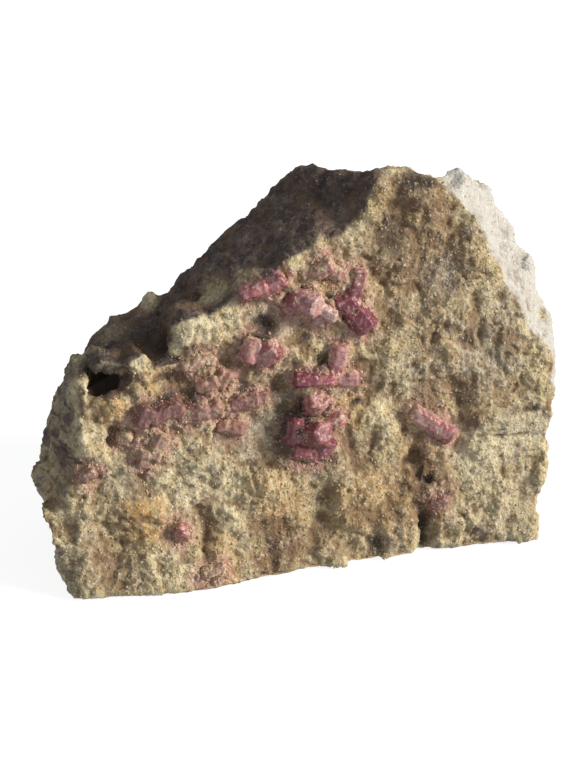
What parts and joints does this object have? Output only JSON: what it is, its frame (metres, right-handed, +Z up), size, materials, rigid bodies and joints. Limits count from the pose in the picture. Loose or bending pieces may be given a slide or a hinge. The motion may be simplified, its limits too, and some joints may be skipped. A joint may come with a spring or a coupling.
{
  "type": "red beryl crystal specimen",
  "caption": "Broken hand specimen of cream rhyolite standing on a flat foot, its leaning front set with small six-sided rose-red beryl crystals.",
  "frame": {"origin": "on the flat foot, under the middle of the stone's bounding box", "axes": "+Z up, X along the stone's width, -Y out of the front that bears the crystals"},
  "size_m": [0.0656, 0.0301, 0.0445],
  "materials": {
    "rhyolite": "rough broken stone, sugary grain",
    "beryl_rose": "rose-red crystal, translucent, glassy where a face is clean",
    "beryl_deep": "raspberry-red crystal, translucent, glassy where a face is clean",
    "beryl_pale": "pale pink crystal, translucent, satin",
    "beryl_dusky": "dusky mauve-red crystal, dull, etched",
    "beryl_peach": "peach-pink crystal, dull, etched"
  },
  "bodies": {
    "root": {"matrix": "rhyolite", "beryl_right_prism": "beryl_rose", "beryl_centre_cluster": "beryl_rose", "beryl_centre_knob": "beryl_rose", "beryl_long_bar": "beryl_deep", "beryl_pale_crystal": "beryl_pale", "beryl_deep_crystal": "beryl_deep", "beryl_edge_cluster": "beryl_rose", "beryl_top_cluster": "beryl_pale", "beryl_left_knob": "beryl_rose", "beryl_band_left": "beryl_dusky", "beryl_band_right": "beryl_dusky", "beryl_upper_pair": "beryl_dusky", "beryl_peach_pair": "beryl_peach", "beryl_peach_crystal": "beryl_peach", "beryl_lower_left_cluster": "beryl_dusky", "beryl_left_grain": "beryl_dusky", "beryl_corner_grain": "beryl_dusky", "beryl_lone_crystal": "beryl_deep", "beryl_foot_crystal": "beryl_dusky", "beryl_groove_crystal": "beryl_rose"}
  },
  "joints": []
}
